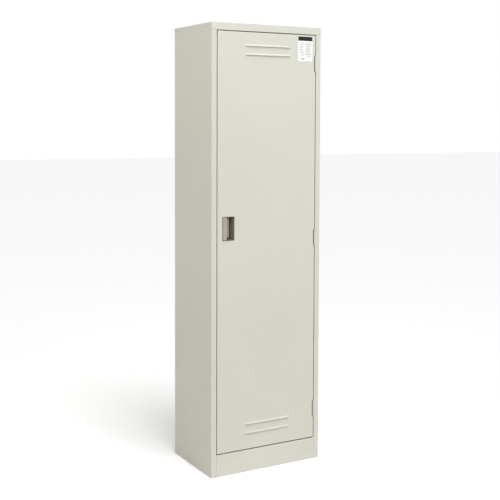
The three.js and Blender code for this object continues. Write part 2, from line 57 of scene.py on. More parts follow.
MM = 0.001
SHEET = 0.8
BEND = 1.2
GAP = 0.3
WIDTH = 505.0
HEIGHT = 1790.0
BODY_DEPTH = 338.0
BARREL_R = 4.0
FRONT = BARREL_R - (BODY_DEPTH + BARREL_R) / 2
BACK = FRONT + BODY_DEPTH

STEP = SHEET + GAP
CAP_X = WIDTH / 2
SIDE_X = CAP_X - STEP
SIDE_IN_X = SIDE_X - SHEET
BACK_Y = BACK - STEP
SIDE_BACK_Y = BACK_Y - STEP
WALL_TOP = HEIGHT - SHEET - BEND

JAMB_X = 229.2
STOP_DEPTH = 24.0
STOP_LIP = 14.0
PLINTH_TOP = 88.0
HEADER_BOTTOM = 1761.0
SILL_LIP = 12.0
CAP_FLANGE = 10.0
CAP_CORNER_R = 2.4
CAP_NUDGE = 0.01
HEADER_LAP = 2.0
HEADER_LIP_CLEAR = 6.0
REAR_FLANGE = 15.0
FOOT_FLANGE = 15.0
FOOT_END = 4.0
KEEPER_WINDOW_Y0, KEEPER_WINDOW_Y1 = FRONT + 3.6, FRONT + 8.6
KEEPER_WINDOW_HALF = 7.0

DOOR_X = 225.8
DOOR_BOTTOM = 92.5
DOOR_TOP = 1757.5
DOOR_DEPTH = 20.0
DOOR_LIP = 14.0
FOLD_R = 1.6
LIP_FOLD_R = 1.2
DOOR_CORNER_R = 1.2

LOUVER_LENGTH = 207.0
LOUVER_X = 1.5
LOUVER_Z = (156.0, 193.0, 1668.0, 1703.0)
LOUVER_PROUD = 3.6
LOUVER_HEIGHT = 9.0
LOUVER_END = 9.0
LOUVER_STEPS = 10
LOUVER_OVERLAP = 0.05
LOUVER_MOUTH = 0.5

HINGE_X = 227.5
HINGE_Z = (213.0, 930.0, 1642.0)
KNUCKLE = 31.0
NOTCH_MARGIN = 0.7
DOOR_NOTCH_X = 219.5

HANDLE_X0, HANDLE_X1 = -204.5, -150.5
HANDLE_Z0, HANDLE_Z1 = 938.0, 1033.0
BEZEL = 1.0
HOUSING_WALL = 1.2
HOUSING_DEPTH = 17.0
POCKET_DEPTH = 15.0
POCKET_TAPER = 9.2
POCKET_SLOT_X = -184.0
POCKET_SLOT_INSET = 4.0
AXIS_X = -199.3
AXIS_Y = FRONT + 2.3
BOSS_R = 2.7
BORE_R = 1.1
FLAT_X = -186.1
TIP_X = -170.4
TIP_DROP = 8.0
LEVER_THICK = 2.0
GRIP_Z0, GRIP_Z1 = 950.0, 1026.0

LATCH_Z = 986.0
LATCH_Y = FRONT + 12.0
BOLT_HALF = 3.0
CAM_R = 2.1
TAIL_HALF = 1.8
TAIL_THICK_HALF = 0.9
COLLAR_X = -218.0
SPRING_R = 4.9
WIRE_R = 0.45
SPRING_TURNS = 5
SPRING_STEPS = 36
SPRING_CLOSING = 0.6

LABEL_X0, LABEL_X1 = 142.0, 210.5
LABEL_Z0, LABEL_Z1 = 1652.0, 1752.0
LABEL_BACK, LABEL_FRONT = FRONT - 0.1, FRONT - 0.35
LABEL_CORNER_R = 2.0

BUMPER_R = 4.5
MARGIN = 20.0
FOLD_STEPS = 8
CORNER_STEPS = 4
BEVEL_ANGLE = math.radians(40)
SMOOTH_ANGLE = math.radians(55)

# ---------------------------------------------------------------- outlines


def fillet(points, radius, steps=FOLD_STEPS):
    """An open path with each of its inner corners rounded."""
    out = [points[0]]
    for before, at, after in zip(points, points[1:], points[2:]):
        p = Vector(at)
        a, b = (Vector(before) - p).normalized(), (Vector(after) - p).normalized()
        half = math.acos(max(-1.0, min(1.0, a.dot(b)))) / 2
        centre = p + (a + b).normalized() * radius / math.sin(half)
        start = p + a * radius / math.tan(half) - centre
        end = p + b * radius / math.tan(half) - centre
        turn = math.atan2(start.x * end.y - start.y * end.x, start.dot(end))
        for k in range(steps + 1):
            v = Matrix.Rotation(turn * k / steps, 2) @ start + centre
            out.append((v.x, v.y))
    out.append(points[-1])
    return out


def offset(points, distance):
    """The path moved sideways; a positive distance is to the left of its heading."""
    out = []
    for i, at in enumerate(points):
        normals = []
        for a, b in ((i - 1, i), (i, i + 1)):
            if a >= 0 and b < len(points):
                d = (Vector(points[b]) - Vector(points[a])).normalized()
                normals.append(Vector((-d.y, d.x)))
        mean = sum(normals, Vector((0, 0))).normalized()
        v = Vector(at) + mean * distance / mean.dot(normals[0])
        out.append((v.x, v.y))
    return out


def rounded(a0, a1, b0, b1, radius, steps=CORNER_STEPS):
    """Outline of a rectangle with round corners, anticlockwise."""
    out = []
    for a, b, start in ((a1 - radius, b0 + radius, -90), (a1 - radius, b1 - radius, 0),
                        (a0 + radius, b1 - radius, 90), (a0 + radius, b0 + radius, 180)):
        for k in range(steps + 1):
            angle = math.radians(start + 90 * k / steps)
            out.append((a + radius * math.cos(angle), b + radius * math.sin(angle)))
    return out


def circle(a, b, radius, steps):
    return [(a + radius * math.cos(2 * math.pi * k / steps), b + radius * math.sin(2 * math.pi * k / steps))
            for k in range(steps)]


def rectangle(a0, a1, b0, b1):
    return [(a0, b0), (a1, b0), (a1, b1), (a0, b1)]


def arc(radius, steps=FOLD_STEPS):
    """(inset, sink) pairs of a quarter round, from the flat face over to the wall."""
    angles = [math.pi / 2 * k / steps for k in range(steps + 1)]
    return [(radius - radius * math.sin(angle), radius - radius * math.cos(angle)) for angle in angles]


def flat_xy(a, b, t):
    return (a, b, t)


def flat_yz(a, b, t):
    return (t, a, b)


def flat_xz(a, b, t):
    return (a, t, b)


# ---------------------------------------------------------------- meshes


def prism(outline, place, low, high):
    """Rings that carry an outline straight from low to high."""
    return [[place(a, b, t) for a, b in outline] for t in (low, high)]


def block(x0, x1, y0, y1, z0, z1):
    return prism(rectangle(x0, x1, y0, y1), flat_xy, z0, z1)


def folded(points, side, place, low, high):
    """Rings of a bent sheet whose outer face follows the points; side is +1 when the metal is on the left."""
    middle = fillet(offset(points, side * SHEET / 2), BEND)
    face, inner = offset(middle, -side * SHEET / 2), offset(middle, side * SHEET / 2)
    return [[place(*p, low), place(*p, high), place(*q, high), place(*q, low)] for p, q in zip(face, inner)]


def loft(name, *bodies):
    """A mesh object of closed bodies, each a list of rings joined in order and capped at both ends."""
    bm = bmesh.new()
    for rings in bodies:
        rows = [[bm.verts.new([c * MM for c in p]) for p in ring] for ring in rings]
        for a, b in zip(rows, rows[1:]):
            for i in range(len(a)):
                j = (i + 1) % len(a)
                bm.faces.new((a[i], a[j], b[j], b[i]))
        bm.faces.new(rows[0][::-1])
        bm.faces.new(rows[-1])
    bmesh.ops.recalc_face_normals(bm, faces=bm.faces)
    mesh = bpy.data.meshes.new(name)
    bm.to_mesh(mesh)
    bm.free()
    obj = bpy.data.objects.new(name, mesh)
    bpy.context.scene.collection.objects.link(obj)
    return obj


def apply_modifiers(obj):
    dg = bpy.context.evaluated_depsgraph_get()
    mesh = bpy.data.meshes.new_from_object(obj.evaluated_get(dg), depsgraph=dg)
    obj.modifiers.clear()
    old, obj.data = obj.data, mesh
    bpy.data.meshes.remove(old)


def combine(obj, operation, *bodies):
    """Joins to obj, cuts from it or keeps inside the closed bodies."""
    tool = loft("tool", *bodies)
    m = obj.modifiers.new(operation, "BOOLEAN")
    m.operation, m.solver, m.object = operation, "EXACT", tool
    apply_modifiers(obj)
    bpy.data.objects.remove(tool)


def round_edges(obj, width, segments):
    m = obj.modifiers.new("edges", "BEVEL")
    m.width, m.segments = width * MM, segments
    m.limit_method, m.angle_limit = "ANGLE", BEVEL_ANGLE
    m.use_clamp_overlap = False


def even_normals(obj):
    m = obj.modifiers.new("normals", "WEIGHTED_NORMAL")
    m.keep_sharp = True


def finished(obj, material, body, slot, *nodes, edge=0.12, segments=2):
    """Softens the cut edges, shades the piece and puts it in its CAD nodes' place."""
    if edge:
        round_edges(obj, edge, segments)
        apply_modifiers(obj)
    obj.data.shade_smooth()
    obj.data.set_sharp_from_angle(angle=SMOOTH_ANGLE)
    even_normals(obj)
    obj.data.materials.clear()
    obj.data.materials.append(material)
    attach(obj, body)
    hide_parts(*nodes)
    return obj


# ---------------------------------------------------------------- materials


class Look:
    """A Principled material and the nodes that feed it, in object coordinates."""

    def __init__(self, name, roughness, metallic=0.0):
        self.material = bpy.data.materials.new(name)
        self.material.use_nodes = True
        self.tree = self.material.node_tree
        self.shader = self.tree.nodes["Principled BSDF"]
        self.shader.inputs["Roughness"].default_value = roughness
        self.shader.inputs["Metallic"].default_value = metallic
        self.place = self.add("ShaderNodeTexCoord").outputs["Object"]

    def add(self, kind, inputs=None, **settings):
        node = self.tree.nodes.new(kind)
        for key, value in settings.items():
            setattr(node, key, value)
        for key, value in (inputs or {}).items():
            self.feed(node.inputs[key], value)
        return node

    def feed(self, socket, value):
        if isinstance(value, bpy.types.NodeSocket):
            self.tree.links.new(value, socket)
        else:
            socket.default_value = value

    def math(self, operation, a, b=0.0, clamp=False):
        return self.add("ShaderNodeMath", {0: a, 1: b}, operation=operation, use_clamp=clamp).outputs[0]

    def noise(self, scale, detail=2.0, stretch=None):
        where = self.place
        if stretch:
            where = self.add("ShaderNodeMapping", {"Vector": where, "Scale": stretch}).outputs[0]
        inputs = {"Vector": where, "Scale": scale, "Detail": detail}
        return self.add("ShaderNodeTexNoise", inputs).outputs["Fac"]

    def spread(self, value, low, high, start=0.3, stop=0.7):
        """value from start..stop carried over to low..high."""
        return self.add("ShaderNodeMapRange", {"Value": value, "From Min": start, "From Max": stop,
                                               "To Min": low, "To Max": high}).outputs["Result"]

    def mix(self, share, a, b):
        node = self.add("ShaderNodeMix", data_type="RGBA")
        for key, value in (("Factor_Float", share), ("A_Color", a), ("B_Color", b)):
            self.feed(next(s for s in node.inputs if s.identifier == key), value)
        return next(s for s in node.outputs if s.identifier == "Result_Color")

    def edges(self, radius):
        """1 on folds and cut edges, 0 on the flats."""
        soft = self.add("ShaderNodeBevel", {"Radius": radius * MM}, samples=4).outputs["Normal"]
        true = self.add("ShaderNodeNewGeometry").outputs["Normal"]
        dot = self.add("ShaderNodeVectorMath", {0: soft, 1: true}, operation="DOT_PRODUCT").outputs["Value"]
        return self.spread(dot, 0.0, 1.0, 0.998, 0.94)

    def bumps(self, *layers):
        """Height layers as (height, strength, depth in mm), the coarsest first."""
        normal = None
        for height, strength, depth in layers:
            inputs = {"Height": height, "Strength": strength, "Distance": depth * MM}
            if normal:
                inputs["Normal"] = normal
            normal = self.add("ShaderNodeBump", inputs).outputs["Normal"]
        self.feed(self.shader.inputs["Normal"], normal)

    def finish(self, colour, roughness=None):
        self.feed(self.shader.inputs["Base Color"], colour)
        if roughness:
            self.feed(self.shader.inputs["Roughness"], roughness)
        return self.material


def srgb(*levels):
    """Linear colour with alpha, from display levels of 11 to 255."""
    return tuple(((c / 255 + 0.055) / 1.055) ** 2.4 for c in levels) + (1.0,)


def paint_look():
    """Baked ivory paint: orange peel, a slight drift of shade, paler edges that are part wear and part
    painted highlight, and a darker, warmer tone near the floor that is part dirt and part painted shade.
    """
    look = Look("ivory_paint", 0.42)
    drift = look.spread(look.noise(2.3), 0.0, 1.0)
    colour = look.mix(drift, srgb(212, 211, 199), srgb(216, 214, 203))
    fine = look.spread(look.noise(55.0, 3.0), 0.0, 0.18, 0.45, 0.75)
    colour = look.mix(fine, colour, srgb(206, 204, 191))
    # Darker and warmer paint towards the floor, broken up by noise: painted shade of the light falling off
    # low down, mixed with dirt.
    height = look.add("ShaderNodeSeparateXYZ", {0: look.place}).outputs["Z"]
    dust_and_low_shade = look.spread(height, 0.22, 0.0, 0.0, 0.9)
    dust_and_low_shade = look.math("MULTIPLY", dust_and_low_shade, look.spread(look.noise(9.0, 4.0), 0.3, 1.0))
    colour = look.mix(dust_and_low_shade, colour, srgb(190, 184, 168))
    # Paler paint on the folds and cut edges: painted highlight mixed with wear. The same edges are also made
    # a little less rough.
    edge_wear_and_light = look.math("MULTIPLY", look.edges(1.6), look.spread(look.noise(38.0, 4.0), 0.15, 0.75))
    colour = look.mix(edge_wear_and_light, colour, srgb(228, 227, 219))
    sheen = look.spread(look.noise(6.0, 4.0), 0.37, 0.47)
    sheen = look.math("SUBTRACT", sheen, look.math("MULTIPLY", edge_wear_and_light, 0.1))
    look.bumps((look.noise(1.7), 0.3, 1.2), (look.noise(520.0, 1.5), 0.18, 0.12))
    return look.finish(colour, sheen)


def plastic_look(name, dark, light, wear_and_light_edge_colour, pocket_shade_share):
    """Moulded plastic with a fine grain, paler and less rough along its edges as painted highlight mixed with
    wear, and darkened by painted shade once it lies behind the door front inside the pocket.
    """
    look = Look(name, 0.45)
    colour = look.mix(look.spread(look.noise(34.0, 3.0), 0.0, 1.0), dark, light)
    # Painted shade: the plastic darkens towards a dark brown once it lies more than about a millimetre behind
    # the door front, as shade in the pocket and on the sunk grip.
    depth = look.add("ShaderNodeSeparateXYZ", {0: look.place}).outputs["Y"]
    pocket_shade = look.spread(depth, 0.0, pocket_shade_share, (FRONT + 0.1) * MM, (FRONT + 1.2) * MM)
    pocket_shade = look.math("MULTIPLY", pocket_shade, look.spread(look.noise(60.0, 3.0), 0.8, 1.0))
    colour = look.mix(pocket_shade, colour, srgb(72, 63, 52))
    # Paler edges in the given edge colour: painted highlight mixed with wear, with a little less roughness.
    edge_wear_and_light = look.math("MULTIPLY", look.edges(0.8), look.spread(look.noise(240.0, 3.0), 0.2, 0.8))
    colour = look.mix(edge_wear_and_light, colour, wear_and_light_edge_colour)
    rough = look.spread(look.noise(160.0, 3.0), 0.4, 0.52)
    rough = look.math("SUBTRACT", rough, look.math("MULTIPLY", edge_wear_and_light, 0.12))
    look.bumps((look.noise(1500.0, 2.0), 0.25, 0.04))
    return look.finish(colour, rough)


def metal_look(name, dark, light, roughness, stretch):
    """Plated steel: clouded shade, drawing lines along one way and brighter edges, painted highlight mixed
    with wear.
    """
    look = Look(name, roughness, 1.0)
    cloud = look.spread(look.noise(75.0, 3.0), 0.0, 1.0)
    lines = look.noise(900.0, 2.0, stretch)
    colour = look.mix(cloud, dark, light)
    # Brighter edges: painted highlight mixed with wear.
    edge_wear_and_light = look.math("MULTIPLY", look.edges(0.6), 0.5)
    colour = look.mix(edge_wear_and_light, colour, srgb(232, 232, 230))
    rough = look.math("ADD", look.spread(cloud, roughness - 0.06, roughness + 0.06, 0.0, 1.0),
                      look.spread(lines, -0.04, 0.04))
    look.bumps((lines, 0.12, 0.03))
    return look.finish(colour, rough)


def rubber_look():
    look = Look("stop_rubber", 0.82)
    colour = look.mix(look.spread(look.noise(220.0, 3.0), 0.0, 1.0), srgb(58, 57, 55), srgb(76, 74, 71))
    look.bumps((look.noise(1100.0, 2.0), 0.4, 0.05))
    return look.finish(colour, look.spread(look.noise(90.0), 0.74, 0.9))


def label_look():
    """White film with a plain black band, neutral rules and one small block: no lettering."""
    look = Look("label_film", 0.5)
    axes = look.add("ShaderNodeSeparateXYZ", {0: look.place}).outputs
    across = look.math("MULTIPLY", axes["X"], 1 / MM)
    up = look.math("MULTIPLY", axes["Z"], 1 / MM)

    def span(value, low, high):
        above = look.math("GREATER_THAN", value, low)
        return look.math("MULTIPLY", above, look.math("LESS_THAN", value, high))

    def patch(x0, x1, z0, z1):
        return look.math("MULTIPLY", span(across, x0, x1), span(up, z0, z1))

    band_z, rule_top, rule_pitch, rule_thick = LABEL_Z1 - 18, LABEL_Z1 - 23, 6.6, 2.2
    band = patch(LABEL_X0 + 0.6, LABEL_X1 - 0.6, band_z, LABEL_Z1 - 0.6)
    row = look.math("MODULO", look.math("SUBTRACT", up, LABEL_Z0), rule_pitch)
    row = look.math("LESS_THAN", row, rule_thick)
    left = patch(LABEL_X0 + 5, LABEL_X0 + 27, LABEL_Z0 + 20, rule_top)
    right = patch(LABEL_X0 + 34, LABEL_X1 - 5, LABEL_Z0 + 12, rule_top)
    broken = look.spread(look.noise(170.0, 1.0, (1.0, 1.0, 0.6)), 0.0, 1.0, 0.34, 0.48)
    rules = look.math("MULTIPLY", look.math("MULTIPLY", row, look.math("ADD", left, right, True)), broken)
    corner = patch(LABEL_X0 + 16, LABEL_X0 + 30, LABEL_Z0 + 6, LABEL_Z0 + 12)
    film = look.mix(look.spread(look.noise(60.0, 3.0), 0.0, 1.0), srgb(244, 244, 241), srgb(252, 252, 250))
    colour = look.mix(look.math("MULTIPLY", rules, 0.85), film, srgb(92, 92, 96))
    colour = look.mix(look.math("MULTIPLY", corner, 0.8), colour, srgb(122, 100, 92))
    colour = look.mix(band, colour, srgb(24, 24, 22))
    look.bumps((look.noise(40.0, 2.0), 0.1, 0.2))
    return look.finish(colour, look.spread(look.noise(120.0), 0.44, 0.56))


PAINT = paint_look()
# The last two values give the paler edge colour (painted highlight with wear) and how much painted shade
# darkens the plastic inside the pocket.
LEVER = plastic_look("lever_moulding", srgb(173, 165, 149), srgb(179, 171, 156), srgb(194, 187, 173), 0.34)
HOUSING = plastic_look("housing_moulding", srgb(112, 101, 86), srgb(120, 109, 94), srgb(146, 136, 121), 0.1)
ZINC = metal_look("zinc_plate", srgb(190, 192, 195), srgb(208, 209, 210), 0.34, (1.0, 1.0, 0.06))
SPRING = metal_look("spring_steel_look", srgb(152, 154, 158), srgb(176, 178, 182), 0.3, (0.1, 1.0, 1.0))
RUBBER = rubber_look()
LABEL = label_look()

# ---------------------------------------------------------------- side panels with the front stiles

HEADER_CLEAR = HEADER_BOTTOM - GAP


def side_panel(side, name, node):
    """A wall folded round into the stile, the jamb, the door stop and the rear flange."""
    def x(value):
        return side * value

    stop_y = FRONT + STOP_DEPTH
    path = [(x(SIDE_X - REAR_FLANGE), SIDE_BACK_Y), (x(SIDE_X), SIDE_BACK_Y), (x(SIDE_X), FRONT),
            (x(JAMB_X), FRONT), (x(JAMB_X), stop_y), (x(JAMB_X - STOP_LIP), stop_y)]
    obj = loft(name, folded(path, -side, flat_xy, 0, WALL_TOP))
    combine(obj, "UNION", block(*sorted((x(SIDE_X - SHEET / 2), x(SIDE_X - FOOT_FLANGE))),
                                FRONT + FOOT_END, SIDE_BACK_Y - FOOT_END, 0, SHEET))
    combine(obj, "DIFFERENCE", block(*sorted((x(SIDE_X + MARGIN), 0)), FRONT - MARGIN, FRONT + STEP,
                                     HEADER_CLEAR, HEIGHT))
    combine(obj, "DIFFERENCE", block(*sorted((x(SIDE_IN_X - GAP), 0)), FRONT - MARGIN, stop_y + MARGIN,
                                     HEADER_CLEAR, HEIGHT))
    combine(obj, "DIFFERENCE", block(*sorted((x(JAMB_X + SHEET + GAP), 0)), stop_y - BEND - SHEET,
                                     stop_y + MARGIN, -MARGIN, PLINTH_TOP + SILL_LIP + GAP))
    if side < 0:
        combine(obj, "DIFFERENCE", block(-JAMB_X - 2 * SHEET, -JAMB_X + SHEET,
                                         KEEPER_WINDOW_Y0, KEEPER_WINDOW_Y1,
                                         LATCH_Z - KEEPER_WINDOW_HALF, LATCH_Z + KEEPER_WINDOW_HALF))
    else:
        combine(obj, "DIFFERENCE", *hinge_notches(JAMB_X - SHEET, HINGE_X + BARREL_R + NOTCH_MARGIN))
    return finished(obj, PAINT, "cabinet", "cabinet_paint", node)


def hinge_notches(x0, x1):
    reach = KNUCKLE + NOTCH_MARGIN
    notch_y = FRONT + BARREL_R + NOTCH_MARGIN
    return [block(x0, x1, FRONT - MARGIN, notch_y, z - reach, z + reach) for z in HINGE_Z]


side_panel(-1, "left_side_sheet", "left_side_panel")
side_panel(1, "right_side_sheet", "right_side_panel")

# ---------------------------------------------------------------- top cap with the header


def cap_ring(inset, z):
    outline = rounded(-CAP_X + inset, CAP_X - inset, FRONT + inset, BACK - inset, CAP_CORNER_R - inset)
    return [flat_xy(a, b, z) for a, b in outline]


pan = [cap_ring(inset, HEIGHT - sink) for inset, sink in arc(FOLD_R)]
pan += [cap_ring(0, HEIGHT - CAP_FLANGE), cap_ring(SHEET, HEIGHT - CAP_FLANGE)]
pan += [cap_ring(inset + SHEET, HEIGHT - SHEET - sink) for inset, sink in reversed(arc(FOLD_R - SHEET))]
header = folded([(FRONT + STOP_DEPTH, HEADER_BOTTOM - SILL_LIP), (FRONT + STOP_DEPTH, HEADER_BOTTOM),
                 (FRONT + CAP_NUDGE, HEADER_BOTTOM), (FRONT + CAP_NUDGE, HEIGHT - CAP_FLANGE + HEADER_LAP)],
                -1, flat_yz, -CAP_X, CAP_X)
cap = loft("top_cap_sheet", header)
envelope = rounded(-CAP_X + CAP_NUDGE, CAP_X - CAP_NUDGE, FRONT, BACK, CAP_CORNER_R)
combine(cap, "INTERSECT", prism(envelope, flat_xy, 0, HEIGHT + MARGIN))
header_back = FRONT + STOP_DEPTH + HEADER_LAP
for side in (-1, 1):
    far = side * (CAP_X + MARGIN)
    combine(cap, "DIFFERENCE", block(*sorted((far, side * (SIDE_IN_X - GAP))), FRONT + STEP, header_back,
                                     HEADER_BOTTOM - MARGIN, HEIGHT - CAP_FLANGE - GAP))
    combine(cap, "DIFFERENCE", block(*sorted((far, side * (JAMB_X - STOP_LIP - GAP))),
                                     FRONT + STOP_DEPTH - BEND - SHEET, header_back,
                                     HEADER_BOTTOM - MARGIN, HEADER_BOTTOM + HEADER_LIP_CLEAR))
combine(cap, "UNION", pan)
finished(cap, PAINT, "cabinet", "cabinet_paint", "top_cap", edge=0.08)

# ---------------------------------------------------------------- plinth

plinth = loft("plinth_sheet", folded(
    [(FRONT + STOP_DEPTH - 1, 0), (FRONT, 0), (FRONT, PLINTH_TOP), (FRONT + STOP_DEPTH, PLINTH_TOP),
     (FRONT + STOP_DEPTH, PLINTH_TOP + SILL_LIP)], -1, flat_yz, -JAMB_X + GAP, JAMB_X - GAP))
finished(plinth, PAINT, "cabinet", "cabinet_paint", "plinth")

# ---------------------------------------------------------------- door


def door_ring(inset, y, radius):
    outline = rounded(-DOOR_X + inset, DOOR_X - inset, DOOR_BOTTOM + inset, DOOR_TOP - inset, radius)
    return [flat_xz(a, b, y) for a, b in outline]


def door_pan():
    """A deep pan: the front, a rolled edge all round and a lip folded in behind."""
    back = FRONT + DOOR_DEPTH
    least = 0.2
    rings = [door_ring(inset, FRONT + sink, DOOR_CORNER_R - inset * (DOOR_CORNER_R - least) / FOLD_R)
             for inset, sink in arc(FOLD_R)]
    rings += [door_ring(inset, back - sink, max(least, DOOR_CORNER_R - inset))
              for inset, sink in reversed(arc(LIP_FOLD_R))]
    rings += [door_ring(DOOR_LIP, back, least), door_ring(DOOR_LIP, back - SHEET, least)]
    rings += [door_ring(inset + SHEET, back - SHEET - sink, max(least, DOOR_CORNER_R - SHEET - inset))
              for inset, sink in arc(LIP_FOLD_R - SHEET)]
    rings += [door_ring(inset + SHEET, FRONT + SHEET + sink,
                        DOOR_CORNER_R - SHEET - inset * (DOOR_CORNER_R - SHEET - least) / (FOLD_R - SHEET))
              for inset, sink in reversed(arc(FOLD_R - SHEET))]
    return rings


def louver(z, inner):
    """A pressed hood, open along its lower edge. The inner body is the air behind the metal."""
    wall = SHEET if inner else 0.0
    half = LOUVER_LENGTH / 2
    sunk = FRONT + wall + LOUVER_OVERLAP
    behind = FRONT + (2 * SHEET if inner else SHEET / 2)
    steps = LOUVER_STEPS
    ends = [LOUVER_END * (1 - math.cos(math.pi / 2 * k / steps)) for k in range(steps + 1)]
    columns = [(-half + wall + d, d) for d in ends] + [(half - wall - d, d) for d in reversed(ends)]
    rows = [(z - LOUVER_MOUTH, 1.0)] if inner else []
    rows += [(z + LOUVER_HEIGHT * k / steps, 1 - (3 - 2 * k / steps) * (k / steps) ** 2)
             for k in range(steps + 1)]
    rings = []
    for x, d in columns:
        swell = math.sqrt(max(0.0, 1 - (1 - d / LOUVER_END) ** 2))
        rise = (LOUVER_PROUD + LOUVER_OVERLAP) * swell
        ring = [(LOUVER_X + x, sunk - rise * share, height) for height, share in rows]
        rings.append(ring + [(LOUVER_X + x, behind, rows[-1][0]), (LOUVER_X + x, behind, rows[0][0])])
    return rings


HOUSING_X0, HOUSING_X1 = HANDLE_X0 + BEZEL, HANDLE_X1 - BEZEL
HOUSING_Z0, HOUSING_Z1 = HANDLE_Z0 + BEZEL, HANDLE_Z1 - BEZEL
SLOT = BOLT_HALF + GAP


def bolt_slot(x0, x1):
    return block(x0, x1, LATCH_Y - SLOT, LATCH_Y + SLOT, LATCH_Z - SLOT, LATCH_Z + SLOT)


door = loft("door_sheet", door_pan())
combine(door, "UNION", *[louver(z, False) for z in LOUVER_Z])
combine(door, "DIFFERENCE", *[louver(z, True) for z in LOUVER_Z])
combine(door, "DIFFERENCE",
        block(HOUSING_X0 - GAP, HOUSING_X1 + GAP, FRONT - MARGIN, FRONT + DOOR_DEPTH / 2,
              HOUSING_Z0 - GAP, HOUSING_Z1 + GAP),
        bolt_slot(-DOOR_X - MARGIN, -DOOR_X + 5), *hinge_notches(DOOR_NOTCH_X, DOOR_X + SHEET))
finished(door, PAINT, "door", "cabinet_paint", "door_panel")

# ---------------------------------------------------------------- recessed handle

CAVITY_X0, CAVITY_X1 = HOUSING_X0 + HOUSING_WALL, HOUSING_X1 - HOUSING_WALL
CAVITY_Z0, CAVITY_Z1 = HOUSING_Z0 + HOUSING_WALL, HOUSING_Z1 - HOUSING_WALL


def housing_body():
    """Bezel, tub and tapering finger pocket in one moulding."""
    def ring(x0, x1, z0, z1, y, radius):
        return [flat_xz(a, b, y) for a, b in rounded(x0, x1, z0, z1, radius, FOLD_STEPS)]

    def pocket(depth, inset, radius):
        slope = POCKET_TAPER * max(0.0, depth) / POCKET_DEPTH
        return ring(CAVITY_X0 + inset, CAVITY_X1 - slope - inset, CAVITY_Z0 + inset, CAVITY_Z1 - inset,
                    FRONT + depth, radius)

    tub = (HOUSING_X0, HOUSING_X1, HOUSING_Z0, HOUSING_Z1)
    face = FRONT - 1.1
    lip_r, mouth_r, floor_r = 0.6, 0.35, 1.6
    rings = [ring(*tub, FRONT + HOUSING_DEPTH, 1.0), ring(*tub, FRONT - 0.1, 1.0),
             ring(HANDLE_X0, HANDLE_X1, HANDLE_Z0, HANDLE_Z1, FRONT - 0.1, 1.6)]
    rings += [ring(HANDLE_X0 + inset, HANDLE_X1 - inset, HANDLE_Z0 + inset, HANDLE_Z1 - inset,
                   face + sink, 1.6 - inset) for inset, sink in reversed(arc(lip_r))]
    rings += [pocket(face - FRONT + sink, inset - mouth_r, 0.9 - inset + mouth_r)
              for inset, sink in [(mouth_r - i, s) for i, s in arc(mouth_r)]]
    rings += [pocket(POCKET_DEPTH - sink, inset, 0.9) for inset, sink in reversed(arc(floor_r))]
    return rings


housing = loft("handle_housing_moulding", housing_body())
pin_z = (HOUSING_Z0 + 0.4, HOUSING_Z1 - 0.4)
combine(housing, "DIFFERENCE", bolt_slot(HOUSING_X0 - MARGIN, CAVITY_X0 + 2))
combine(housing, "DIFFERENCE", block(POCKET_SLOT_X, CAVITY_X1 - POCKET_TAPER - 1,
                                     FRONT, FRONT + HOUSING_DEPTH + MARGIN,
                                     CAVITY_Z0 + POCKET_SLOT_INSET, CAVITY_Z1 - POCKET_SLOT_INSET))
combine(housing, "DIFFERENCE", prism(circle(AXIS_X, AXIS_Y, BORE_R, 24), flat_xy, *pin_z))
finished(housing, HOUSING, "door", "housing_plastic", "handle_housing", edge=0.1)

lever_face = AXIS_Y - BOSS_R
lever_z = (CAVITY_Z0 + GAP, CAVITY_Z1 - GAP)
plate = [(AXIS_X, lever_face), (FLAT_X, lever_face), (FLAT_X + 1.5, lever_face + 0.7),
         (FLAT_X + 1.5, lever_face + LEVER_THICK + 0.7), (AXIS_X, lever_face + LEVER_THICK)]
tip_y = lever_face + TIP_DROP
grip = fillet([(FLAT_X - 4, lever_face + 1.0), (FLAT_X - 4, lever_face), (FLAT_X, lever_face),
               (TIP_X, tip_y - 0.2), (TIP_X, tip_y + 2.4), (TIP_X - 2.2, tip_y + 2.4),
               (FLAT_X, lever_face + LEVER_THICK), (FLAT_X - 4, lever_face + LEVER_THICK),
               (FLAT_X - 4, lever_face + 1.0)], 0.45, 6)[1:]
lever = loft("handle_lever_moulding", prism(plate, flat_xy, *lever_z))
combine(lever, "UNION", prism(grip, flat_xy, GRIP_Z0, GRIP_Z1))
combine(lever, "UNION", prism(circle(AXIS_X, AXIS_Y, BOSS_R, 48), flat_xy, *lever_z))
tail_z = (LATCH_Z - TAIL_HALF, LATCH_Z + TAIL_HALF)
tail = rectangle(AXIS_X - TAIL_THICK_HALF, AXIS_X + TAIL_THICK_HALF, AXIS_Y, LATCH_Y)
combine(lever, "UNION", prism(tail, flat_xy, *tail_z))
combine(lever, "UNION", prism(circle(AXIS_X, LATCH_Y, CAM_R, 32), flat_xy, *tail_z))
bore = prism(circle(AXIS_X, AXIS_Y, BORE_R, 24), flat_xy, lever_z[0] - 1, lever_z[1] + 1)
combine(lever, "DIFFERENCE", bore)
finished(lever, LEVER, "lever", "lever_plastic", "handle_lever", edge=0.2)

# ---------------------------------------------------------------- latch spring


def coil():
    """A compression spring: open in the middle, closer wound towards its ends."""
    x0, x1 = COLLAR_X + WIRE_R + GAP, HOUSING_X0 - WIRE_R - GAP
    steps = SPRING_TURNS * SPRING_STEPS

    def centre(t):
        angle = 2 * math.pi * SPRING_TURNS * t
        along = t - SPRING_CLOSING * math.sin(2 * math.pi * t) / (2 * math.pi)
        return Vector((x0 + (x1 - x0) * along, LATCH_Y + SPRING_R * math.cos(angle),
                       LATCH_Z + SPRING_R * math.sin(angle)))

    rings = []
    for k in range(steps + 1):
        t = k / steps
        at = centre(t)
        along = (centre(t + 1e-4) - centre(t - 1e-4)).normalized()
        out = (at - Vector((at.x, LATCH_Y, LATCH_Z))).normalized()
        side = along.cross(out).normalized()
        rings.append([at + out * a + side * b for a, b in circle(0, 0, WIRE_R, 12)])
    return rings


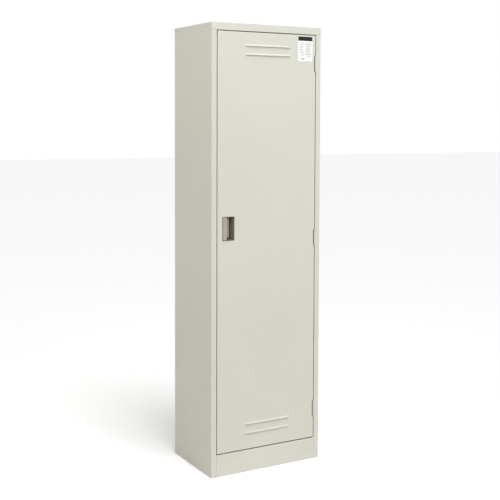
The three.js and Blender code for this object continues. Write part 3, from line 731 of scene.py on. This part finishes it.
spring = finished(loft("latch_spring_coil", coil()), SPRING, "door", "spring_steel", "latch_spring", edge=0)
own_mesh(spring)

# ---------------------------------------------------------------- rubber stops and label


def bumper(node, name):
    """A domed stop, moulded with a rounded rim."""
    low, high = (Vector(c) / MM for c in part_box(node))
    middle, dome, rim = (low + high) / 2, 0.8, 0.5
    profile = [(BUMPER_R, high.y)]
    profile += [(BUMPER_R - inset, low.y + dome + sink) for inset, sink in reversed(arc(rim, 5))]
    flat = BUMPER_R - rim
    profile += [(flat * math.cos(math.pi / 2 * k / 8), low.y + dome * (1 - math.sin(math.pi / 2 * k / 8)))
                for k in range(1, 8)]
    rings = [[flat_xz(a, b, y) for a, b in circle(middle.x, middle.z, r, 40)] for r, y in profile]
    finished(loft(name, rings), RUBBER, "cabinet", "bumper_rubber", node, edge=0)


bumper("door_bumper_lower", "lower_stop")
bumper("door_bumper_upper", "upper_stop")

film = rounded(LABEL_X0, LABEL_X1, LABEL_Z0, LABEL_Z1, LABEL_CORNER_R)
finished(loft("door_label_film", prism(film, flat_xz, LABEL_BACK, LABEL_FRONT)), LABEL, "door", "label_paper",
         "door_label", edge=0.06)

# ---------------------------------------------------------------- CAD nodes that are shown as they are


def smooth_group():
    """Smooth shading across every edge flatter than SMOOTH_ANGLE."""
    tree = bpy.data.node_groups.new("smooth_by_angle", "GeometryNodeTree")
    tree.interface.new_socket("Geometry", in_out="INPUT", socket_type="NodeSocketGeometry")
    tree.interface.new_socket("Geometry", in_out="OUTPUT", socket_type="NodeSocketGeometry")
    start, end = tree.nodes.new("NodeGroupInput"), tree.nodes.new("NodeGroupOutput")
    plain = tree.nodes.new("GeometryNodeRemoveAttribute")
    plain.inputs["Name"].default_value = "custom_normal"
    angle = tree.nodes.new("GeometryNodeInputMeshEdgeAngle")
    small = tree.nodes.new("FunctionNodeCompare")
    small.data_type, small.operation = "FLOAT", "LESS_THAN"
    small.inputs[1].default_value = SMOOTH_ANGLE
    faces, edges = tree.nodes.new("GeometryNodeSetShadeSmooth"), tree.nodes.new("GeometryNodeSetShadeSmooth")
    faces.domain, edges.domain = "FACE", "EDGE"
    tree.links.new(start.outputs[0], plain.inputs["Geometry"])
    tree.links.new(plain.outputs[0], faces.inputs["Geometry"])
    tree.links.new(faces.outputs[0], edges.inputs["Geometry"])
    tree.links.new(angle.outputs["Unsigned Angle"], small.inputs[0])
    tree.links.new(small.outputs[0], edges.inputs["Shade Smooth"])
    tree.links.new(edges.outputs[0], end.inputs[0])
    return tree


SMOOTH = smooth_group()
KEPT = {
    "cabinet_paint": (PAINT, 0.12),
    "zinc_steel": (ZINC, 0.2),
    "spring_steel": (SPRING, 0.08),
}
SLOT_OF = {part["node"]: part["material_slot"] for part in frame["record"]["subparts"]}

for name, node in frame["nodes"].items():
    if node.hide_render:
        continue
    look, edge = KEPT[SLOT_OF[name]]
    node.data.materials.clear()
    node.data.materials.append(look)
    weld = node.modifiers.new("weld", "WELD")
    weld.merge_threshold = 1e-6
    flats = node.modifiers.new("flats", "DECIMATE")
    flats.decimate_type, flats.angle_limit = "DISSOLVE", math.radians(0.5)
    round_edges(node, edge, 2)
    node.modifiers.new("smooth", "NODES").node_group = SMOOTH
    even_normals(node)

# ---------------------------------------------------------------- floor, light and camera


def floor(glow):
    """A pale floor that glows a little to the camera only, so that it shows nearly white."""
    mesh = bpy.data.meshes.new("floor")
    reach = 30.0
    corners = [(a, b, 0) for a, b in rectangle(-reach, reach, -reach, reach)]
    mesh.from_pydata(corners, [], [(0, 1, 2, 3)])
    obj = bpy.data.objects.new("floor", mesh)
    bpy.context.scene.collection.objects.link(obj)
    look = Look("pale_floor", 0.7)
    seen = look.add("ShaderNodeLightPath").outputs["Is Camera Ray"]
    look.feed(look.shader.inputs["Emission Color"], (1.0, 1.0, 1.0, 1.0))
    look.feed(look.shader.inputs["Emission Strength"], look.math("MULTIPLY", seen, glow))
    mesh.materials.append(look.finish(srgb(236, 236, 236)))


def softbox(name, at, target, size, power, colour):
    """A rectangular lamp, turned to face its target."""
    light = bpy.data.lights.new(name, "AREA")
    light.shape, light.size, light.size_y = "RECTANGLE", *size
    light.energy, light.color = power, colour
    obj = bpy.data.objects.new(name, light)
    obj.location = at
    obj.rotation_euler = (Vector(target) - Vector(at)).to_track_quat("-Z", "Y").to_euler()
    bpy.context.scene.collection.objects.link(obj)


def sun(name, towards, angle, strength):
    """A broad, even light from the given direction."""
    light = bpy.data.lights.new(name, "SUN")
    light.energy, light.angle = strength, math.radians(angle)
    obj = bpy.data.objects.new(name, light)
    obj.rotation_euler = Vector(towards).to_track_quat("Z", "Y").to_euler()
    bpy.context.scene.collection.objects.link(obj)


def surroundings(lighting, shown):
    """An even white room, dim as a light but shown bright where the camera sees it directly."""
    world = bpy.data.worlds.new("studio")
    bpy.context.scene.world = world
    world.use_nodes = True
    tree = world.node_tree
    plain = tree.nodes["Background"]
    plain.inputs["Color"].default_value = (1.0, 1.0, 1.0, 1.0)
    plain.inputs["Strength"].default_value = lighting
    seen = tree.nodes.new("ShaderNodeBackground")
    seen.inputs["Color"].default_value = (1.0, 1.0, 1.0, 1.0)
    seen.inputs["Strength"].default_value = shown
    choose, path = tree.nodes.new("ShaderNodeMixShader"), tree.nodes.new("ShaderNodeLightPath")
    tree.links.new(path.outputs["Is Camera Ray"], choose.inputs[0])
    tree.links.new(plain.outputs[0], choose.inputs[1])
    tree.links.new(seen.outputs[0], choose.inputs[2])
    tree.links.new(choose.outputs[0], tree.nodes["World Output"].inputs["Surface"])


def camera(at, yaw, pitch, roll, lens, shift):
    """The viewpoint, in metres and radians: yaw turns it from straight ahead, pitch tips it down."""
    ahead = Vector((math.sin(yaw), math.cos(yaw), 0))
    right, up = Vector((math.cos(yaw), -math.sin(yaw), 0)), Vector((0, 0, 1))
    look = ahead * math.cos(pitch) - up * math.sin(pitch)
    rise = up * math.cos(pitch) + ahead * math.sin(pitch)
    across = right * math.cos(roll) + rise * math.sin(roll)
    top = rise * math.cos(roll) - right * math.sin(roll)
    data = bpy.data.cameras.new("camera")
    data.sensor_width, data.lens = 36.0, lens
    data.shift_x, data.shift_y = shift
    data.clip_end = 100.0
    obj = bpy.data.objects.new("camera", data)
    obj.matrix_world = Matrix.Translation(at) @ Matrix((across, top, -look)).transposed().to_4x4()
    bpy.context.scene.collection.objects.link(obj)
    bpy.context.scene.camera = obj


floor(glow=0.22)
surroundings(lighting=0.24, shown=1.0)
sun("key", towards=(-0.10, -0.75, 1.7), angle=35.0, strength=2.3)
softbox("left_top", at=(-1.9, -0.2, 2.6), target=(-0.2, 0.0, 1.6), size=(1.0, 1.0), power=15.0,
        colour=(1.0, 0.97, 0.87))
softbox("front_top", at=(0.5, -2.1, 2.8), target=(0.0, 0.0, 1.3), size=(1.2, 0.9), power=20.0,
        colour=(0.95, 0.98, 1.0))
camera(at=(-1.9657, -3.4884, 1.4097), yaw=0.51675, pitch=math.radians(3.0), roll=0.00333, lens=69.47,
       shift=(-0.001, -0.1575))
bpy.context.scene.view_settings.view_transform = "Standard"
